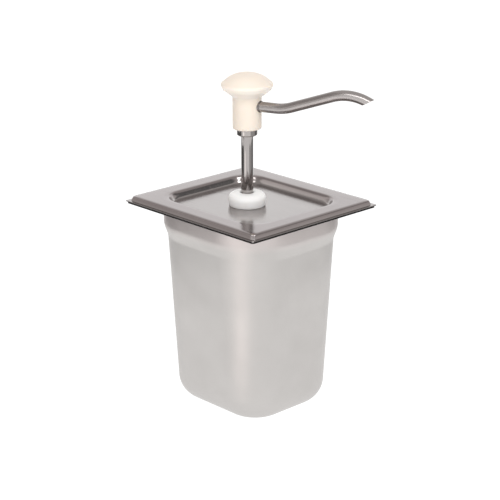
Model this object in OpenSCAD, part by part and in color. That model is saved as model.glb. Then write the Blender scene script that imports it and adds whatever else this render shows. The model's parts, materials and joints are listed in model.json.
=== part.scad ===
// Condiment pump dispenser: a one-sixth gastronorm container, its lid and a hand pump.
// Origin at the centre of the container's flat base, +Z up, the container's long side along X.

/* [Container] */
// Outside of the rim along X
rim_x = 176; // [170:0.5:182]
// Outside of the rim along Y
rim_y = 162; // [158:0.5:166]
// Height of the rim's top above the base
rim_z = 200; // [190:0.5:205]
// Thickness of the container's sheet
sheet = 0.8; // [0.6:0.1:1]
// Corner radius of the rim's outline
rim_corner = 3; // [2.5:0.5:8]
// Depth of the turned-down edge
rim_fold = 1.5; // [1.5:0.1:4]
// Distance from the rim's edge in to the stacking band
band_inset = 9.8; // [9:0.1:11]
// Corner radius of the stacking band
band_corner = 53; // [48:1:58]
// Height of the stacking band and its shoulder
band_h = 16.5; // [14:0.5:22]
// Height over which the shoulder draws in
shoulder_h = 16; // [6:0.5:20]
// Distance from the rim's edge in to the body, just under the shoulder
body_inset = 13.8; // [12:0.1:15]
// Distance from the rim's edge in to the body, at the top of the base fillet
foot_inset = 22.8; // [19:0.1:25]
// Corner radius of the body at the top of the base fillet
foot_corner = 38; // [34:1:44]
// Fillet between body and base
base_fillet = 24; // [14:1:25]

/* [Lid] */
// Thickness of the lid's sheet
lid_sheet = 0.9; // [0.7:0.1:1.2]
// Clearance between the rim and the lid's lip
lid_gap = 0.3; // [0.2:0.1:0.5]
// How far the lip stands past the rim all round
lip_over = 1; // [0:0.1:2]
// Corner radius of the lip
lip_corner = 2.2; // [1.2:0.1:6]
// Width of the flat lip that lies on the rim
lip_w = 3.6; // [3.2:0.1:6]
// Width of the step from the lip up to the border
step_w = 1.8; // [1.6:0.1:3]
// Height of the border above the lip
step_h = 4.2; // [3:0.1:5]
// Corner radius of the border
border_corner = 3.4; // [2:0.1:6]
// Distance from the lid's edge in to the well
well_inset = 21.5; // [18:0.5:24]
// Corner radius of the well's edge
well_corner = 26; // [20:1:32]
// Width of the well's sloping wall
well_wall_w = 4.8; // [3:0.2:7]
// Depth of the well below the border
well_depth = 6.5; // [6:0.1:9]
// Radius of the hole for the pump
lid_hole_r = 13; // [12.8:0.1:14]
// The pump's axis along X, from the middle of the lid
pump_x = -2.2; // [-10:0.1:10]
// The pump's axis along Y, from the middle of the lid
pump_y = -2.2; // [-10:0.1:10]

/* [Pump] */
// Radius of the pump barrel's bore
bore_r = 14; // [13.8:0.1:14.4]
// Stroke of the plunger
stroke = 48; // [30:1:48]
// Outer radius of the stem tube
stem_r = 5.8; // [5.5:0.1:6.2]
// Wall of the stem tube
stem_wall = 1.2; // [0.8:0.1:1.4]
// Radial clearance of sliding fits
slide_fit = 0.05; // [0.03:0.01:0.1]
// Height of the locking nut
nut_h = 12.8; // [12.6:0.2:16]
// Largest radius of the locking nut
nut_r = 18.2; // [17.6:0.1:19]
// Length of stem that shows between the nut and the collar
stem_show = 55.9; // [52:0.1:60]
// Radius of the suction tube
suction_r = 7; // [6.6:0.1:7.2]
// Gap between the suction tube and the container's floor
suction_gap = 4; // [2:0.5:8]

/* [Head] */
// Radius of the collar
collar_r = 9.9; // [9.5:0.1:11]
// Height of the collar
collar_h = 6.6; // [6:0.1:10]
// Radius of the knob's body
head_r = 13.75; // [13:0.05:14.5]
// Height of the knob's body, up to the mushroom
head_body_h = 30.8; // [28:0.1:34]
// Radius of the mushroom
cap_r = 24.6; // [22:0.2:27]
// Height of the mushroom's underside, from the body to the rim
cap_under_h = 8.6; // [7:0.2:11]
// Height of the mushroom's blunt rim
cap_rim_h = 5; // [3:0.2:6]
// Height of the dome above the blunt rim
cap_dome_h = 8.8; // [5:0.2:11]

/* [Spout] */
// Angle of the spout from +X at rest
spout_turn = 20; // [0:1:360]
// Outer radius of the spout's tube
spout_r = 5; // [4.6:0.1:5.2]
// Wall of the spout's tube
spout_wall = 0.9; // [0.6:0.1:1.2]
// Height of the spout's root above the knob's lower end
spout_root_h = 22.2; // [18:0.2:23]
// Where the spout starts to rise, from the pump's axis
spout_level = 30; // [28:1:40]
// Rise of the middle stretch, in degrees
spout_rise = 19; // [10:0.5:25]
// Length of the middle stretch
spout_mid = 43; // [36:0.5:60]
// Bend radius where the spout starts to rise
spout_bend_1 = 50; // [24:1:60]
// Bend radius over the crest
spout_bend_2 = 48; // [35:1:60]
// Fall of the tube at its mouth, in degrees
spout_fall = 24.5; // [20:0.5:40]
// Slope of the oblique mouth, in degrees from upright
mouth_slope = 62; // [45:1:70]

/* [Hidden] */
$fn = 96;

// Small overshoot of a cutting solid
over = 1;
// Gap between parts that only touch or that stay still beside each other
nest = 0.05;
// Gap between parts that move apart
apart = 0.3;

// Steps round one corner of a pressed sheet, and along its curves
corner_steps = 10;
curve_steps = 6;

// Heights of the lid
lip_z = rim_z + lid_gap;
border_z = lip_z + step_h;
well_z = border_z - well_depth;
deck_z = well_z + lid_sheet;

// Heights of the pump's fixed parts, from the deck down
gasket_h = 1.5;
flange_top = well_z - gasket_h;
flange_h = 2.5;
flange_r = 19.5;
neck_r = lid_hole_r - 0.4;
nut_cap = 4;
neck_top = deck_z + nut_h - nut_cap;
bush_r = 9;
wiper_h = 4;
barrel_wall = 2;
barrel_r = bore_r + barrel_wall;
barrel_top = flange_top - flange_h;
bore_top = barrel_top - 3;
neck_floor = bore_top + 2;
bush_top = neck_top - wiper_h - apart;

// Heights of the plunger at rest, from the top of its travel
piston_h = 16;
piston_top = bore_top - apart;
piston_bottom = piston_top - piston_h;
piston_r = bore_r - apart;
seat_h = 5;
seat_top = piston_bottom + seat_h + 0.2;
seat_r = 8;
seat_hole_r = 2.6;
outlet_ball_r = 3.5;
outlet_ball_z = seat_top + sqrt(outlet_ball_r * outlet_ball_r - seat_hole_r * seat_hole_r) + nest;
outlet_travel = 2.5;
pin_r = 0.7;
pin_z = outlet_ball_z + outlet_ball_r + outlet_travel + pin_r + nest;
pin_reach = piston_r - 1.5;
seal_groove_r = 11.5;
seal_groove_h = 5;
seal_groove_z = piston_bottom + 7;
stem_seal_wire = 0.9;
stem_seal_drop = 7.6;
stem_seal_z = piston_top - stem_seal_drop;

// Spring, its washer and the foot valve
washer_h = 1.5;
washer_r = bore_r - 0.8;
washer_top = piston_bottom - apart;
wire_r = 0.7;
coil_r = 11.5;
spring_top = washer_top - washer_h - apart;
retainer_h = 1.5;
spring_seat_gap = 18.6;
spring_bottom = spring_top - stroke - spring_seat_gap;
retainer_bottom = spring_bottom - retainer_h;
plug_h = 7;
barrel_bottom = retainer_bottom - plug_h;
housing_flange_h = 4.3;
housing_bottom = barrel_bottom - housing_flange_h;
valve_ball_r = 5;
valve_hole_r = 3.8;
valve_travel = 3;
valve_ball_z = retainer_bottom - valve_travel - valve_ball_r - nest;
valve_seat_z = valve_ball_z - sqrt(valve_ball_r * valve_ball_r - valve_hole_r * valve_hole_r) - nest;
chamber_r = 7.5;
valve_seal_wire = 1;
valve_seal_z = barrel_bottom + plug_h / 2;

// Suction side
spigot_r = 9.5;
spigot_h = 12;
spigot_bottom = housing_bottom - spigot_h;
socket_depth = 8;
suction_seal_h = 1.6;
suction_nut_r = 13.5;
suction_nut_wall = 3;
suction_nut_bottom = spigot_bottom - suction_seal_h - suction_nut_wall;
suction_bottom = sheet + suction_gap;
suction_wall = 1.4;

// Heights of the head at rest
nut_top = deck_z + nut_h;
collar_bottom = nut_top + stem_show;
head_bottom = collar_bottom + collar_h;
stem_socket = 14;
stem_top = head_bottom + stem_socket;
stem_bottom = seat_top;
stem_bore_r = stem_r - stem_wall;
head_chamber_r = 4;
head_cross_r = 3.6;
spout_z = head_bottom + spout_root_h;
cap_bottom = head_bottom + head_body_h;
cap_low = cap_bottom + cap_under_h;
cap_high = cap_low + cap_rim_h;
dome_curve = 2.6;
ferrule_r = spout_r + 0.6;
ferrule_in = head_r - 2;
ferrule_out = head_r + 1;
spout_start = 6;
head_seal_wire = 0.9;
head_seal_z = head_bottom + 9;
spout_seal_x = 9;

// ---- Outlines ----

// Smooth rise from 0 to 1
function smooth(u) = u * u * (3 - 2 * u);

// Value between a and b
function blend(a, b, u) = a + (b - a) * u;

function reversed(list) = [for (i = [len(list) - 1 : -1 : 0]) list[i]];

// One corner of a rounded outline
function corner(cx, cy, r, z, start) =
    [for (i = [0 : corner_steps])
        let (a = start + 90 * i / corner_steps)
        [cx + r * cos(a), cy + r * sin(a), z]];

// A rounded outline at a station: [distance in from the edge of the sheet's size, corner radius, height]
function outline(station, size) =
    let (r = station[1], z = station[2])
    let (cx = size[0] / 2 - station[0] - r, cy = size[1] / 2 - station[0] - r)
    concat(corner(cx, cy, r, z, 0), corner(-cx, cy, r, z, 90),
           corner(-cx, -cy, r, z, 180), corner(cx, -cy, r, z, 270));

// Direction of travel along a row of stations, as [inward, upward]
function heading(path, i) =
    let (a = path[max(i - 1, 0)], b = path[min(i + 1, len(path) - 1)])
    let (d = [b[0] - a[0], b[2] - a[2]])
    d / norm(d);

// The other face of a sheet whose outer or lower face follows the stations
function other_face(path, t) =
    [for (i = [0 : len(path) - 1])
        let (d = heading(path, i), s = path[i])
        [s[0] + t * d[1], s[1] - t * d[1], s[2] - t * d[0]]];

// A quarter bend, or part of one, drawn outwards from a centre: a is 0 towards the rim's edge, 90 up
function bend(inset, z, r, corner_r, from, to) =
    [for (k = [0 : curve_steps])
        let (a = blend(from, to, k / curve_steps))
        [inset - r * cos(a), corner_r + r * cos(a), z + r * sin(a)]];

// A pressed step from one station to another
function press(from, to) =
    [for (k = [0 : curve_steps])
        let (u = k / curve_steps)
        [blend(from[0], to[0], u), blend(from[1], to[1], u), blend(from[2], to[2], smooth(u))]];

// A soft shoulder between two upright walls, which leaves the lower one along its own taper
function shoulder(from, to, taper) =
    [for (k = [0 : curve_steps])
        let (u = k / curve_steps, z = blend(from[2], to[2], u), run = taper * (z - from[2]))
        [blend(from[0] - run, to[0], smooth(u)), blend(from[1] + run, to[1], smooth(u)), z]];

// A pressed sheet: its lower face follows the stations from the middle to the free edge
module pressed_sheet(path, t, size) {
    stations = concat(path, reversed(other_face(path, t)));
    n = 4 * (corner_steps + 1);
    last = n * (len(stations) - 1);
    points = [for (s = stations) each outline(s, size)];
    bottom = [for (i = [0 : n - 1]) i];
    top = [for (i = [n - 1 : -1 : 0]) last + i];
    sides = [for (k = [0 : len(stations) - 2], i = [0 : n - 1])
        let (a = k * n + i, d = k * n + (i + 1) % n)
        each [[a, a + n, d + n], [a, d + n, d]]];
    polyhedron(points = points, faces = concat([bottom], sides, [top]));
}

// Moves its children onto the pump's axis
module on_pump_axis() {
    translate([pump_x, pump_y, 0]) children();
}

// A plain tube standing on z
module tube(z, h, r_out, r_in) {
    translate([0, 0, z]) difference() {
        cylinder(r = r_out, h = h);
        translate([0, 0, -over]) cylinder(r = r_in, h = h + 2 * over);
    }
}

// A round ring of wire, such as an O-ring
module ring(z, r, wire) {
    translate([0, 0, z]) rotate_extrude() translate([r, 0]) circle(r = wire, $fn = 32);
}

// Points of a quarter round, for turned outlines
function round_points(cx, cy, rx, ry, from, to, steps = 8) =
    [for (k = [0 : steps])
        let (a = blend(from, to, k / steps))
        [cx + rx * cos(a), cy + ry * sin(a)]];

// ---- Container and lid ----

// Width of the flat rows that end the base and the well, and the bend from the band into the rim
flat_row = 4;
rim_bend = 2.5;

// Stations of the container's outer face, from the middle of the base to the turned-down edge
container_path = concat(
    [[foot_inset + base_fillet + flat_row, foot_corner - base_fillet - flat_row, 0]],
    bend(foot_inset + base_fillet, base_fillet, base_fillet, foot_corner - base_fillet, -90, 0),
    shoulder([body_inset, band_corner - body_inset + band_inset, rim_z - band_h - shoulder_h],
             [band_inset, band_corner, rim_z - band_h],
             (foot_inset - body_inset) / (rim_z - band_h - shoulder_h - base_fillet)),
    [for (k = [0 : curve_steps / 2])
        let (a = 180 - 90 * k / (curve_steps / 2), r = rim_bend)
        [band_inset - r - r * cos(a), band_corner + r + r * cos(a), rim_z - sheet - r + r * sin(a)]],
    [[1.8, rim_corner - 1.8, rim_z - sheet],
     [1.1, rim_corner - 1.1, rim_z - sheet - 0.2],
     [sheet, rim_corner - sheet, rim_z - sheet - 0.5],
     [sheet, rim_corner - sheet, rim_z - rim_fold]]);

// Stations of the lid's lower face, from the middle of the well to the lip's edge
lid_path = concat(
    [[well_inset + well_wall_w + flat_row, well_corner - well_wall_w - flat_row, well_z]],
    press([well_inset + well_wall_w, well_corner - well_wall_w, well_z],
          [well_inset, well_corner, border_z]),
    press([lip_w + step_w, border_corner, border_z],
          [lip_w, lip_corner + 0.6, lip_z]),
    [[0, lip_corner, lip_z]]);

module container() {
    color([0.74, 0.73, 0.71]) difference() {
        pressed_sheet(container_path, sheet, [rim_x, rim_y]);
        // Trims the base flat
        translate([-rim_x, -rim_y, -10]) cube([2 * rim_x, 2 * rim_y, 10]);
    }
}

module lid() {
    color([0.7, 0.68, 0.67]) difference() {
        pressed_sheet(lid_path, lid_sheet, [rim_x + 2 * lip_over, rim_y + 2 * lip_over]);
        on_pump_axis() translate([0, 0, well_z - over]) cylinder(r = lid_hole_r, h = lid_sheet + 2 * over);
    }
}

// ---- Fixed parts of the pump ----

module flange_gasket() {
    color([0.2, 0.2, 0.2]) tube(flange_top, gasket_h, flange_r, lid_hole_r);
}

module locking_nut() {
    bulge_z = deck_z + nut_h * 0.52;
    base_r = nut_r - 1.1;
    color([0.95, 0.95, 0.93]) rotate_extrude() polygon(concat(
        [[neck_r + 0.15, deck_z], [base_r - 0.3, deck_z]],
        round_points(nut_r - 5, bulge_z, 5, (bulge_z - deck_z) * 1.55, -38.7, 0, 6),
        round_points(nut_r - 6, bulge_z, 6, nut_top - bulge_z - 0.5, 8, 76, 9),
        [[stem_r + 3, nut_top], [stem_r + 0.6, nut_top],
         [stem_r + 0.6, neck_top + 0.4], [neck_r + 0.15, neck_top + 0.4]]));
}

// Barrel, flange and threaded neck in one moulding
module pump_cylinder() {
    color([0.93, 0.92, 0.88]) rotate_extrude() polygon([
        [bore_r, barrel_bottom], [barrel_r, barrel_bottom],
        [barrel_r, barrel_top], [flange_r, barrel_top],
        [flange_r, flange_top], [neck_r, flange_top],
        [neck_r, neck_top], [bush_r, neck_top],
        [bush_r, neck_floor], [stem_r + 1, neck_floor],
        [stem_r + 1, bore_top], [bore_r, bore_top]]);
}

module stem_bush() {
    color([0.9, 0.88, 0.8]) tube(neck_floor + nest, bush_top - neck_floor - nest, bush_r - nest, stem_r + slide_fit);
}

// A lip that leans on the stem, with a hollow back
module stem_wiper() {
    low = bush_top + nest;
    color([0.25, 0.25, 0.25]) rotate_extrude() polygon([
        [stem_r + slide_fit, low], [bush_r - nest, low],
        [bush_r - nest, low + wiper_h], [bush_r - 1.2, low + wiper_h],
        [bush_r - 1.6, low + 1.6], [stem_r + 0.9, low + 1.6],
        [stem_r + 0.6, low + wiper_h], [stem_r + slide_fit, low + wiper_h]]);
}

// Plug, flange and spigot of the foot valve, with its seat and ball chamber
module valve_housing() {
    seat_cone = valve_seat_z + 1.6;
    groove = valve_seal_wire + 0.15;
    color([0.93, 0.92, 0.88]) rotate_extrude() polygon([
        [suction_r + nest, spigot_bottom], [spigot_r, spigot_bottom],
        [spigot_r, housing_bottom], [barrel_r, housing_bottom],
        [barrel_r, barrel_bottom], [bore_r - nest, barrel_bottom],
        [bore_r - nest, valve_seal_z - groove], [bore_r - 2 * valve_seal_wire - nest, valve_seal_z - groove],
        [bore_r - 2 * valve_seal_wire - nest, valve_seal_z + groove], [bore_r - nest, valve_seal_z + groove],
        [bore_r - nest, retainer_bottom], [chamber_r, retainer_bottom],
        [chamber_r, seat_cone + 1.4], [valve_hole_r + 1.6 + nest, seat_cone],
        [valve_hole_r, valve_seat_z],
        [valve_hole_r, spigot_bottom + socket_depth], [suction_r + nest, spigot_bottom + socket_depth]]);
}

module valve_seal() {
    color([0.15, 0.15, 0.15]) ring(valve_seal_z, bore_r - valve_seal_wire - 0.02, valve_seal_wire - 0.02);
}

// Hexagonal nut with the thread as a plain bore
module suction_nut() {
    color([0.93, 0.92, 0.88]) difference() {
        translate([0, 0, suction_nut_bottom])
            cylinder(r = suction_nut_r, h = housing_bottom - suction_nut_bottom - 0.5, $fn = 6);
        translate([0, 0, suction_nut_bottom - over])
            cylinder(r = suction_r + nest, h = suction_nut_wall + 2 * over);
        translate([0, 0, suction_nut_bottom + suction_nut_wall])
            cylinder(r = spigot_r + nest, h = housing_bottom - suction_nut_bottom);
    }
}

module suction_seal() {
    color([0.15, 0.15, 0.15])
        tube(spigot_bottom - suction_seal_h + nest, suction_seal_h - 2 * nest, spigot_r - nest, suction_r + nest);
}

// Dip tube with two notches in its foot, so that it can't seal itself on the floor
module suction_tube() {
    notch_w = 5;
    notch_h = 7;
    color([0.9, 0.9, 0.86]) difference() {
        tube(suction_bottom, spigot_bottom + socket_depth - nest - suction_bottom,
             suction_r, suction_r - suction_wall);
        translate([-suction_r - over, -notch_w / 2, suction_bottom - over])
            cube([2 * (suction_r + over), notch_w, notch_h + over]);
    }
}

// Disc under the spring, with three windows above the ball
module ball_retainer() {
    hub_r = 2.4;
    spoke_w = 2;
    color([0.75, 0.75, 0.76]) translate([0, 0, retainer_bottom]) {
        difference() {
            cylinder(r = bore_r - 0.8, h = retainer_h - nest);
            translate([0, 0, -over]) cylinder(r = chamber_r - 0.5, h = retainer_h + 2 * over);
        }
        cylinder(r = hub_r, h = retainer_h - nest);
        for (k = [0 : 2])
            rotate([0, 0, 120 * k]) translate([hub_r - 0.6, -spoke_w / 2, 0])
                cube([chamber_r - hub_r + 0.6, spoke_w, retainer_h - nest]);
    }
}

module foot_ball() {
    color([0.8, 0.8, 0.82]) translate([0, 0, valve_ball_z]) sphere(r = valve_ball_r);
}

// ---- Return spring: a wire wound round the pump's axis, with closed end turns ----

spring_turns = 9;
turn_steps = 22;
wire_sides = 8;
spring_rings = spring_turns * turn_steps;

// Height of the wire's centre after a number of turns
function spring_height(turn) =
    let (closed = 2 * wire_r + 0.1, low = spring_bottom + wire_r, high = spring_top - wire_r)
    turn < 1 ? low + closed * turn :
    turn > spring_turns - 1 ? high - closed * (spring_turns - turn) :
    blend(low + closed, high - closed, (turn - 1) / (spring_turns - 2));

function spring_ring(k) =
    let (a = 360 * k / turn_steps, z = spring_height(k / turn_steps))
    [for (j = [0 : wire_sides - 1])
        let (b = 360 * (j + 0.5) / wire_sides, r = coil_r + wire_r * cos(b))
        [r * cos(a), r * sin(a), z + wire_r * sin(b)]];

module return_spring() {
    n = wire_sides;
    last = n * spring_rings;
    points = [for (k = [0 : spring_rings]) each spring_ring(k)];
    sides = [for (k = [0 : spring_rings - 1], j = [0 : n - 1])
        let (a = k * n + j, d = k * n + (j + 1) % n)
        each [[a, a + n, d + n], [a, d + n, d]]];
    start = [for (j = [0 : n - 1]) j];
    end = [for (j = [n - 1 : -1 : 0]) last + j];
    color([0.75, 0.75, 0.76]) polyhedron(points = points, faces = concat([start], sides, [end]));
}

module spring_washer() {
    color([0.75, 0.75, 0.76]) tube(washer_top - washer_h, washer_h, washer_r, seat_r + 0.6);
}

// ---- Plunger ----

// Round piston with a seal groove, a socket for the stem and a counterbore for the valve seat
module piston() {
    groove_top = seal_groove_z + seal_groove_h;
    o_ring = stem_seal_wire + 0.1;
    o_ring_r = stem_r + 2 * stem_seal_wire;
    color([0.93, 0.92, 0.88]) difference() {
        rotate_extrude() polygon([
            [seat_r, piston_bottom], [piston_r, piston_bottom],
            [piston_r, seal_groove_z], [seal_groove_r, seal_groove_z],
            [seal_groove_r, groove_top], [piston_r, groove_top],
            [piston_r, piston_top], [stem_r + nest, piston_top],
            [stem_r + nest, stem_seal_z + o_ring], [o_ring_r, stem_seal_z + o_ring],
            [o_ring_r, stem_seal_z - o_ring], [stem_r + nest, stem_seal_z - o_ring],
            [stem_r + nest, seat_top + nest], [seat_r, seat_top + nest]]);
        cross_hole(pin_reach + nest);
    }
}

// Cylinder across the pump's axis where the pin sits
module cross_hole(reach) {
    translate([-reach, 0, pin_z]) rotate([0, 90, 0]) cylinder(r = pin_r + nest, h = 2 * reach, $fn = 32);
}

module piston_seal() {
    color([0.2, 0.2, 0.2])
        tube(seal_groove_z + nest, seal_groove_h - 2 * nest, bore_r - slide_fit, seal_groove_r + nest);
}

module stem_seal() {
    wire = stem_seal_wire - nest;
    color([0.15, 0.15, 0.15]) ring(stem_seal_z, stem_r + nest + wire, wire - 0.02);
}

// Seat with a sharp round hole under the ball and a funnel below it
module outlet_seat() {
    low = seat_top - seat_h;
    color([0.75, 0.75, 0.76]) rotate_extrude() polygon([
        [seat_hole_r + 1.6, low], [seat_r - nest, low],
        [seat_r - nest, seat_top], [seat_hole_r, seat_top],
        [seat_hole_r, seat_top - 1.5]]);
}

module outlet_ball() {
    color([0.8, 0.8, 0.82]) translate([0, 0, outlet_ball_z]) sphere(r = outlet_ball_r);
}

module outlet_ball_pin() {
    color([0.75, 0.75, 0.76])
        translate([-pin_reach, 0, pin_z]) rotate([0, 90, 0]) cylinder(r = pin_r, h = 2 * pin_reach, $fn = 32);
}

module stem_tube() {
    color([0.72, 0.7, 0.7]) difference() {
        tube(stem_bottom + nest, stem_top - stem_bottom - nest, stem_r, stem_bore_r);
        cross_hole(stem_r + over);
    }
}

// Turned collar with rounded edges
module stem_collar() {
    edge = 1.4;
    color([0.6, 0.58, 0.57]) rotate_extrude() polygon(concat(
        [[stem_r + nest, collar_bottom]],
        round_points(collar_r - edge, collar_bottom + edge, edge, edge, -90, 0, 6),
        round_points(collar_r - 0.5, head_bottom - nest - 0.5, 0.5, 0.5, 0, 90, 3),
        [[stem_r + nest, head_bottom - nest]]));
}

module head_seal() {
    wire = head_seal_wire - nest;
    color([0.15, 0.15, 0.15]) ring(head_seal_z, stem_r + nest + wire, wire - 0.02);
}

// Places its children on the spout's own line: x out from the pump's axis, z up from the root
module on_spout_line() {
    translate([0, 0, spout_z]) rotate([0, 0, spout_turn]) children();
}

// A cylinder along the spout's root
module root_rod(from, to, r) {
    translate([from, 0, 0]) rotate([0, 90, 0]) cylinder(r = r, h = to - from);
}

// Knob: round body, mushroom top, stem socket, flow chamber and spout socket
module pump_head() {
    under_r = cap_r - head_r;
    seal_r = stem_r + 2 * head_seal_wire;
    seal_out = spout_r + 2 * head_seal_wire;
    color([0.97, 0.93, 0.87]) difference() {
        rotate_extrude() polygon(concat(
            [[0, head_bottom], [head_r - 1.2, head_bottom]],
            round_points(head_r - 1.2, head_bottom + 1.2, 1.2, 1.2, -60, 0, 3),
            [[head_r, cap_bottom]],
            [for (k = [1 : 5])
                let (u = k / 6)
                [head_r + under_r * u, cap_bottom + cap_under_h * (0.8 * u + 0.2 * u * u)]],
            round_points(cap_r - 2.2, (cap_low + cap_high) / 2, 2.2, cap_rim_h / 2, -50, 50, 8),
            [for (k = [1 : 12])
                let (u = 1 - k / 12)
                [(cap_r - 1) * u, cap_high + cap_dome_h * (1 - pow(u, dome_curve))]]));
        translate([0, 0, head_bottom - over]) cylinder(r = stem_r + nest, h = stem_top - head_bottom + over + nest);
        translate([0, 0, head_seal_z - head_seal_wire - nest])
            cylinder(r = seal_r, h = 2 * (head_seal_wire + nest));
        translate([0, 0, head_bottom]) cylinder(r = head_chamber_r, h = spout_root_h + head_chamber_r + 1);
        on_spout_line() {
            root_rod(spout_start - nest, head_r + over, spout_r + nest);
            root_rod(ferrule_in - nest, head_r + over, ferrule_r + nest);
            root_rod(0, spout_start, head_cross_r);
            root_rod(spout_seal_x - head_seal_wire, spout_seal_x + head_seal_wire, seal_out);
        }
    }
}

module spout_ferrule() {
    color([0.45, 0.43, 0.42]) on_spout_line() difference() {
        root_rod(ferrule_in, ferrule_out, ferrule_r);
        root_rod(ferrule_in - over, ferrule_out + over, spout_r + nest);
    }
}

module spout_seal() {
    wire = head_seal_wire - nest;
    color([0.15, 0.15, 0.15]) on_spout_line() translate([spout_seal_x, 0, 0]) rotate([0, 90, 0])
        ring(0, spout_r + nest + wire, wire - 0.02);
}

// Points where the spout's stretches meet, on its own line
bend_1_end = [spout_level + spout_bend_1 * sin(spout_rise), spout_bend_1 * (1 - cos(spout_rise))];
crest_start = bend_1_end + spout_mid * [cos(spout_rise), sin(spout_rise)];
crest_centre = crest_start + spout_bend_2 * [sin(spout_rise), -cos(spout_rise)];
mouth = crest_centre + spout_bend_2 * [sin(spout_fall), cos(spout_fall)];
tip_len = 9;

// A bend laps the straight stretches on either side of it by this angle, and is this much fatter,
// so that the stretches join cleanly
bend_lap = 0.3;
bend_grow = 0.005;

// A piece of a bent rod, in the upright plane through the spout's line
module bent_rod(centre, r_bend, from, angle, r) {
    translate([centre[0], 0, centre[1]]) rotate([90, 0, 0]) rotate([0, 0, from - bend_lap])
        rotate_extrude(angle = angle + 2 * bend_lap)
            translate([r_bend, 0]) circle(r = r + bend_grow, $fn = 48);
}

// The whole bent rod of the spout, at one radius
module spout_rod(from, r) {
    root_rod(from, spout_level, r, $fn = 48);
    bent_rod([spout_level, spout_bend_1], spout_bend_1, -90, spout_rise, r);
    translate([bend_1_end[0], 0, bend_1_end[1]]) rotate([0, 90 - spout_rise, 0])
        cylinder(r = r, h = spout_mid, $fn = 48);
    bent_rod(crest_centre, spout_bend_2, 90 - spout_fall, spout_rise + spout_fall, r);
    translate([mouth[0], 0, mouth[1]]) rotate([0, 90 + spout_fall, 0])
        cylinder(r = r, h = tip_len, $fn = 48);
}

module spout() {
    block = 30;
    color([0.72, 0.7, 0.7]) on_spout_line() difference() {
        spout_rod(spout_start, spout_r);
        spout_rod(spout_start - over, spout_r - spout_wall);
        translate([mouth[0], 0, mouth[1]]) rotate([0, mouth_slope, 0])
            translate([0, -block / 2, -block / 2]) cube(block);
    }
}

container();
lid();
on_pump_axis() flange_gasket();
on_pump_axis() locking_nut();
on_pump_axis() pump_cylinder();
on_pump_axis() stem_bush();
on_pump_axis() stem_wiper();
on_pump_axis() valve_housing();
on_pump_axis() valve_seal();
on_pump_axis() suction_nut();
on_pump_axis() suction_seal();
on_pump_axis() suction_tube();
on_pump_axis() ball_retainer();
on_pump_axis() foot_ball();
on_pump_axis() return_spring();
on_pump_axis() spring_washer();
on_pump_axis() piston();
on_pump_axis() piston_seal();
on_pump_axis() stem_seal();
on_pump_axis() outlet_seat();
on_pump_axis() outlet_ball();
on_pump_axis() outlet_ball_pin();
on_pump_axis() stem_tube();
on_pump_axis() stem_collar();
on_pump_axis() head_seal();
on_pump_axis() pump_head();
on_pump_axis() spout_ferrule();
on_pump_axis() spout_seal();
on_pump_axis() spout();
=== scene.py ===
import json
import math

import bmesh
import bpy
from mathutils import Matrix, Vector


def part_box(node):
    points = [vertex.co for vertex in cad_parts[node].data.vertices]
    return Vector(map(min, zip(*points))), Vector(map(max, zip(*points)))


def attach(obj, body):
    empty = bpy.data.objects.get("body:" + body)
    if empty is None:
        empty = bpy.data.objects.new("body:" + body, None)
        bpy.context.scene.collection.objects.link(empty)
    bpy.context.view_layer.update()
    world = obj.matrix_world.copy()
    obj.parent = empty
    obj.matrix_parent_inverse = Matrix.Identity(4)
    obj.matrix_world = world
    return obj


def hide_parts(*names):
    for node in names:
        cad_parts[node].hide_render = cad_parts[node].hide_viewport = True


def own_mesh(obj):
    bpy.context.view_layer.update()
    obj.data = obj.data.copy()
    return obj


# Looks of the condiment pump dispenser: a steel container, its pressed lid and a hand pump with a bent spout.
# Lengths are in metres and angles in degrees, unless they are turned into radians where they are set.

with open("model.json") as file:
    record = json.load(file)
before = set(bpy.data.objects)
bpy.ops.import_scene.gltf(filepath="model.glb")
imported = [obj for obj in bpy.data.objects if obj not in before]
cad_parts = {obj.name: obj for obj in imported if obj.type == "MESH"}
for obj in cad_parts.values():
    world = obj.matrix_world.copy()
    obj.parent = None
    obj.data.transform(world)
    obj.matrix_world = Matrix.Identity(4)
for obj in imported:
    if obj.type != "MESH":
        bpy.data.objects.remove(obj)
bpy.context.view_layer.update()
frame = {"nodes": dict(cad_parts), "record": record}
MM = 0.001

# ---------------------------------------------------------------- places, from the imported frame

BOX = {n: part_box(n) for n in frame["nodes"]}
PUMP = (BOX["stem_tube"][0] + BOX["stem_tube"][1]) / 2
PUMP_X, PUMP_Y = PUMP.x, PUMP.y
RIM_X = BOX["container"][1].x - BOX["container"][0].x
RIM_Y = BOX["container"][1].y - BOX["container"][0].y
RIM_Z = BOX["container"][1].z
LID_X = BOX["lid"][1].x - BOX["lid"][0].x
LID_Y = BOX["lid"][1].y - BOX["lid"][0].y

# ---------------------------------------------------------------- camera

# The camera looks at AIM from an azimuth, an elevation and a distance, and then shifts sideways and up.
# An azimuth of 0 looks along +Y. The lens and the sensor are in millimetres.
SENSOR = 36
CAM_AZ, CAM_EL, CAM_ROLL = math.radians(46.457), math.radians(18.602), math.radians(-0.116)
CAM_DIST, CAM_LENS = 1.556274, 116.149
CAM_SIDE, CAM_UP = -0.000622, -0.00658
AIM = Vector((0, 0, 0.16))

front_way = Vector((math.sin(CAM_AZ), -math.cos(CAM_AZ), 0))
flat_right = Vector((math.cos(CAM_AZ), math.sin(CAM_AZ), 0))
back = math.cos(CAM_EL) * front_way + Vector((0, 0, math.sin(CAM_EL)))
flat_up = back.cross(flat_right)
right = math.cos(CAM_ROLL) * flat_right + math.sin(CAM_ROLL) * flat_up
up = -math.sin(CAM_ROLL) * flat_right + math.cos(CAM_ROLL) * flat_up

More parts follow.
